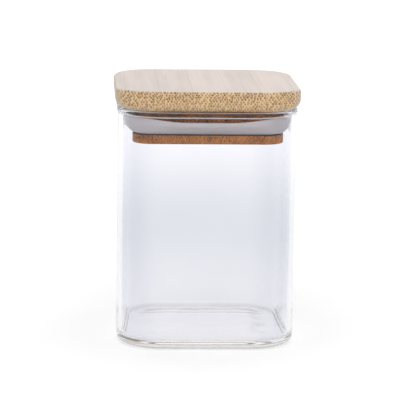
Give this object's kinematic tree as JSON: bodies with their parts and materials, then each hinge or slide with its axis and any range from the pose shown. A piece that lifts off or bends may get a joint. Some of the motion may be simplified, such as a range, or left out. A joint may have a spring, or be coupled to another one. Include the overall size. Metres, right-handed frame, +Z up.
{
  "type": "spice jar",
  "caption": "Square clear glass spice jar with rounded corners, closed by a thick bamboo lid board with a bamboo plug and a flared silicone seal.",
  "frame": {"origin": "middle of the base, on the surface that the jar stands on", "axes": "+Z up along the jar, +X to the right, +Y to the back; -Y is the side that the picture shows"},
  "size_m": [0.067, 0.067, 0.0942],
  "materials": {
    "clear_glass": "clear, polished, slightly cool",
    "pale_bamboo": "sanded natural bamboo, satin, end grain with dark vascular bundles",
    "brown_bamboo": "sanded carbonised bamboo, satin",
    "silicone": "translucent white silicone, soft satin"
  },
  "bodies": {
    "jar": {"glass_jar": "clear_glass"},
    "lid": {"lid_board": "pale_bamboo", "plug_neck": "brown_bamboo", "seal_ring": "silicone", "plug_foot": "brown_bamboo"}
  },
  "joints": [
    {"name": "lid_lift", "type": "slide", "parent": "jar", "child": "lid", "axis": [0, 0, 1], "range_m": [0, 0.06]}
  ]
}
